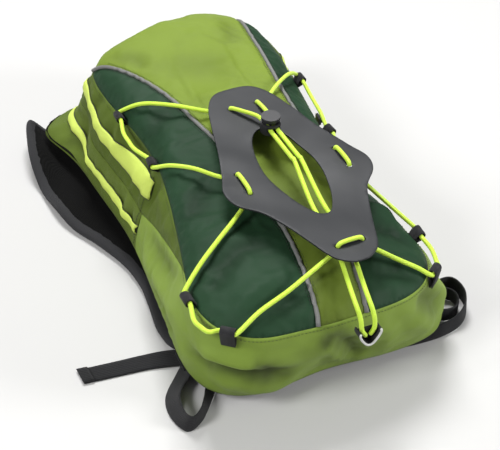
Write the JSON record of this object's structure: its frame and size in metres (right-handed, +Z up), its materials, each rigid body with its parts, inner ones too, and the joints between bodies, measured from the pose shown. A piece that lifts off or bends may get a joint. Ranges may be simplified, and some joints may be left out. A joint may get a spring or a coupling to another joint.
{
  "type": "hydration pack",
  "caption": "Small hydration pack lying on its back: cord-laced front with a floating plate, piped panels, two zipped compartments, shoulder straps, water reservoir inside.",
  "frame": {"origin": "on the floor under the middle of the back panel's width, where the pack lies on its back", "axes": "+Z up, away from the wearer's back; +Y towards the grab handle; +X to the right seen from the front with the handle up"},
  "size_m": [0.3741, 0.54, 0.1646],
  "materials": {
    "cloth_green": "matte polyester plain weave, mid green",
    "cloth_dark_green": "slightly shiny nylon, dark green",
    "cloth_black": "spacer mesh and lining, black",
    "piping": "reflective grey piping",
    "zip_tape": "bright yellow-green zip tape and coil",
    "cord": "braided elastic cord, bright yellow-green",
    "webbing": "woven webbing, charcoal",
    "plate": "matte charcoal moulded sheet",
    "hardware": "matte black moulded plastic",
    "zip_metal": "black painted cast slider",
    "water_film": "glossy film, light blue",
    "water_cap": "blue moulded plastic"
  },
  "bodies": {
    "pack": {"centre_panel": "cloth_green", "front_gusset": "cloth_green", "main_gusset": "cloth_green", "bottom_wrap": "cloth_green", "left_panel": "cloth_dark_green", "right_panel": "cloth_dark_green", "back_panel": "cloth_black", "back_pads": "cloth_black", "divider_panel": "cloth_black", "piping": "piping", "main_zip_tape": "zip_tape", "front_zip_tape": "zip_tape", "cord_lacing": "cord", "cord_loops": "webbing", "light_loop": "webbing", "adjuster_webbing_left": "webbing", "adjuster_webbing_right": "webbing", "reservoir": "water_film", "hose": "water_film"},
    "plate": {"cord_plate": "plate", "cord_stitches": "cord", "cord_strands": "cord"},
    "cord_lock": {"cord_lock_body": "hardware"},
    "lock_button": {"cord_lock_button": "hardware"},
    "main_slider": {"main_zip_slider": "zip_metal"},
    "main_pull": {"main_zip_pull": "zip_metal"},
    "front_slider": {"front_zip_slider": "zip_metal"},
    "front_pull": {"front_zip_pull": "zip_metal"},
    "strap_left": {"shoulder_strap_left": "cloth_black"},
    "strap_right": {"shoulder_strap_right": "cloth_black"},
    "ladder_left": {"ladder_lock_left": "hardware", "webbing_tail_left": "webbing"},
    "ladder_right": {"ladder_lock_right": "hardware"},
    "sternum": {"sternum_webbing_left": "webbing", "sternum_buckle_socket": "hardware"},
    "sternum_plug": {"sternum_buckle_plug": "hardware", "sternum_webbing_right": "webbing"},
    "handle": {"grab_handle": "cloth_black"},
    "cap": {"reservoir_cap": "water_cap"},
    "valve": {"bite_valve": "water_cap"}
  },
  "joints": [
    {"name": "plate_lift", "type": "slide", "parent": "pack", "child": "plate", "axis": [0, 0, 1], "range_m": [0, 0.04], "deforming": ["cord_lacing", "cord_strands"]},
    {"name": "lock_slide", "type": "slide", "parent": "plate", "child": "cord_lock", "axis": [0.0488, -0.9978, -0.0454], "range_m": [0, 0.038]},
    {"name": "lock_press", "type": "slide", "parent": "cord_lock", "child": "lock_button", "axis": [-0.0022, 0.0453, -0.999], "range_m": [0, 0.003], "stiffness_N_per_m": 800},
    {"name": "main_zip_slide", "type": "slide", "parent": "pack", "child": "main_slider", "axis": [0.1292, 0.9916, 0], "range_m": [0, 0.05]},
    {"name": "main_pull_swing", "type": "hinge", "parent": "main_slider", "child": "main_pull", "pos_m": [0.11969, 0.0393, 0.0488], "axis": [0, 0, 1], "range_deg": [0, 120]},
    {"name": "front_zip_slide", "type": "slide", "parent": "pack", "child": "front_slider", "axis": [0.1222, 0.9925, 0], "range_m": [0, 0.05]},
    {"name": "front_pull_swing", "type": "hinge", "parent": "front_slider", "child": "front_pull", "pos_m": [0.11119, 0.05134, 0.09004], "axis": [0, 0, 1], "range_deg": [0, 120]},
    {"name": "left_strap_swing", "type": "hinge", "parent": "pack", "child": "strap_left", "pos_m": [-0.104, 0.226, 0.005], "axis": [0, 0, -1], "range_deg": [0, 8]},
    {"name": "right_strap_swing", "type": "hinge", "parent": "pack", "child": "strap_right", "pos_m": [0.094, 0.226, 0.005], "axis": [0, 0, 1], "range_deg": [0, 8]},
    {"name": "left_ladder_tilt", "type": "hinge", "parent": "strap_left", "child": "ladder_left", "pos_m": [-0.101, -0.129, 0.0054], "axis": [-1, 0, 0], "range_deg": [0, 12]},
    {"name": "right_ladder_tilt", "type": "hinge", "parent": "strap_right", "child": "ladder_right", "pos_m": [0.121, -0.129, 0.0054], "axis": [-1, 0, 0], "range_deg": [0, 12]},
    {"name": "sternum_slide", "type": "slide", "parent": "strap_left", "child": "sternum", "axis": [0, 1, 0], "range_m": [-0.03, 0.03]},
    {"name": "buckle_release", "type": "slide", "parent": "sternum", "child": "sternum_plug", "axis": [1, 0, 0], "range_m": [0, 0.0165]},
    {"name": "handle_swing", "type": "hinge", "parent": "pack", "child": "handle", "pos_m": [0, 0.256, 0.0359], "axis": [1, 0, 0], "range_deg": [-15, 60]},
    {"name": "cap_turn", "type": "hinge", "parent": "pack", "child": "cap", "pos_m": [0, 0.07786, 0.05794], "axis": [0, -0.04, 0.9992], "continuous": true},
    {"name": "valve_turn", "type": "hinge", "parent": "pack", "child": "valve", "pos_m": [0, 0.2, 0.052], "axis": [1, 0, 0], "range_deg": [0, 90]}
  ]
}
